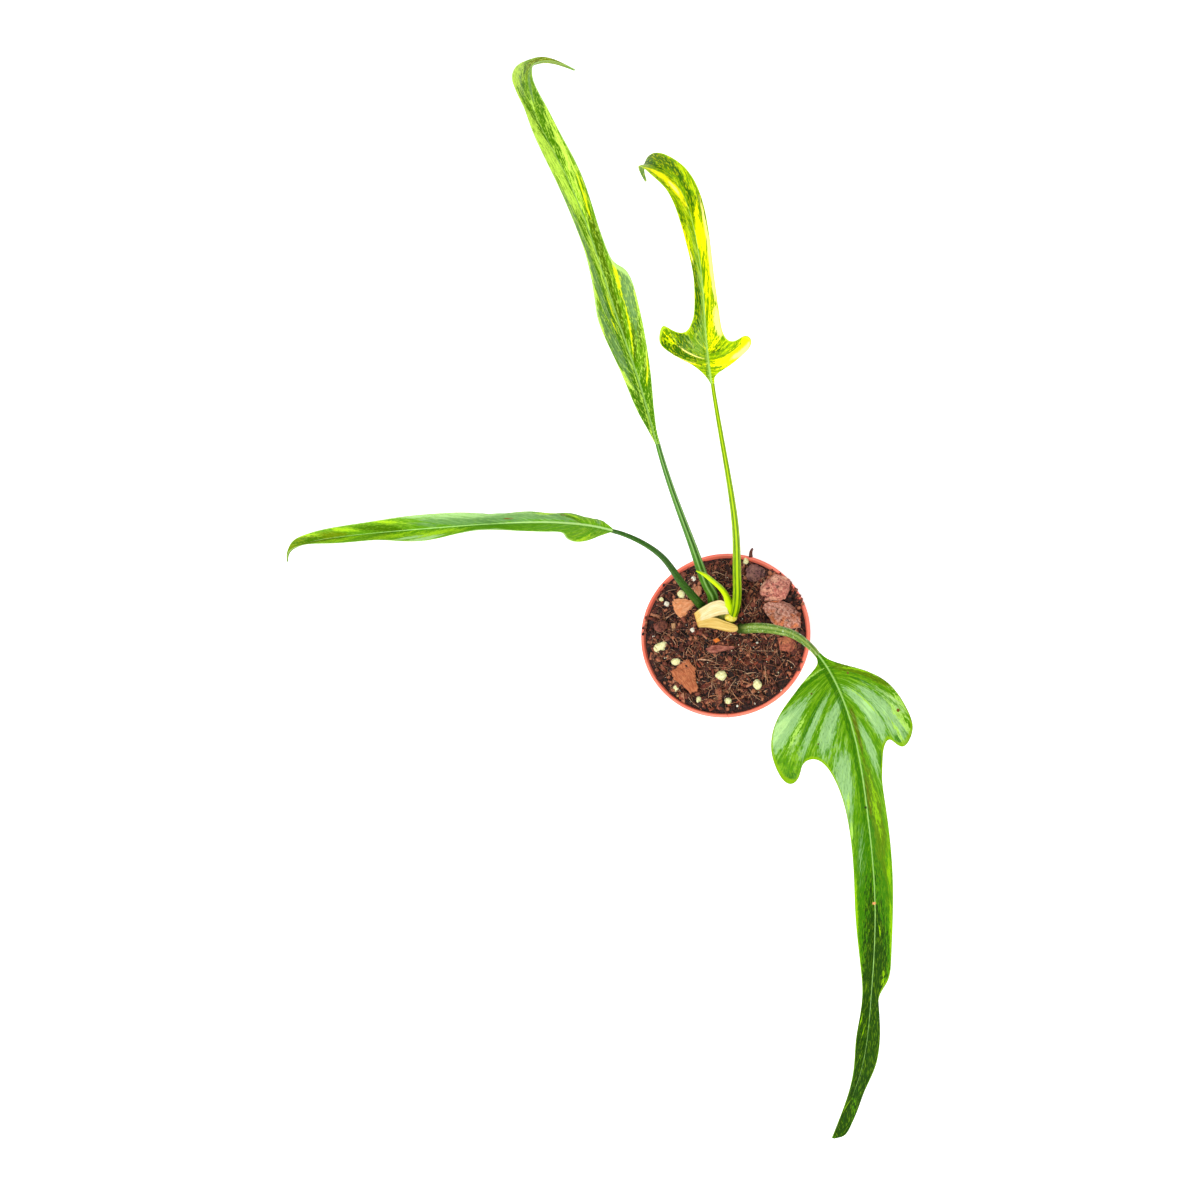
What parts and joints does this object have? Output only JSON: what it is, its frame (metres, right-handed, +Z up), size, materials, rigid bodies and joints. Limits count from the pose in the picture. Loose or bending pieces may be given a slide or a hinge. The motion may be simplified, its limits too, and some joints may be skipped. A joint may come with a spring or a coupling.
{
  "type": "potted philodendron",
  "caption": "Variegated climbing philodendron with long strap leaves and small basal lobes, growing in a round plastic nursery pot.",
  "frame": {"origin": "middle of the pot's flat underside, on the surface that the pot stands on", "axes": "+Z up, +X to the right and +Y to the back as the picture shows the plant"},
  "size_m": [0.3339, 0.4604, 0.2904],
  "materials": {
    "pot_plastic": "satin moulded terracotta-coloured plastic",
    "potting_mix": "moist dark coir and bark mix",
    "stem_green": "fleshy stem with leaf scars",
    "stalk_dark": "satin dark green skin with a groove",
    "stalk_lime": "satin lime skin with a darker groove",
    "stalk_mottled": "satin green skin with pale flecks",
    "leaf_tall": "satin green marbled with lime",
    "leaf_young": "satin green with broad yellow areas",
    "leaf_left": "satin green with lime streaks",
    "leaf_broad": "satin mid green with a pale midrib",
    "shoot_lime": "smooth bright lime",
    "sheath_paper": "dry cream paper with amber edges",
    "lava_rock": "rough porous purple-red rock",
    "bark": "weathered bark",
    "perlite": "chalky white grains"
  },
  "bodies": {
    "root": {"pot": "pot_plastic", "soil": "potting_mix", "stem": "stem_green", "petiole_tall": "stalk_dark", "petiole_young": "stalk_lime", "petiole_left": "stalk_dark", "petiole_broad": "stalk_mottled", "blade_tall": "leaf_tall", "blade_young": "leaf_young", "blade_left": "leaf_left", "blade_broad": "leaf_broad", "shoot": "shoot_lime", "sheath": "sheath_paper", "lava_back": "lava_rock", "lava_side": "lava_rock", "lava_small": "lava_rock", "bark_purple": "bark", "seed_husk": "bark", "perlite_1": "perlite", "perlite_2": "perlite", "perlite_3": "perlite", "perlite_4": "perlite", "perlite_5": "perlite", "perlite_6": "perlite", "perlite_7": "perlite", "perlite_8": "perlite", "perlite_9": "perlite", "perlite_10": "perlite", "perlite_11": "perlite", "perlite_12": "perlite", "perlite_13": "perlite", "chip_tan": "bark", "chip_round": "bark", "chip_rust": "bark", "chip_long": "bark", "chip_orange": "bark", "chip_red": "bark", "sliver_tan": "bark", "straw": "bark"}
  },
  "joints": []
}
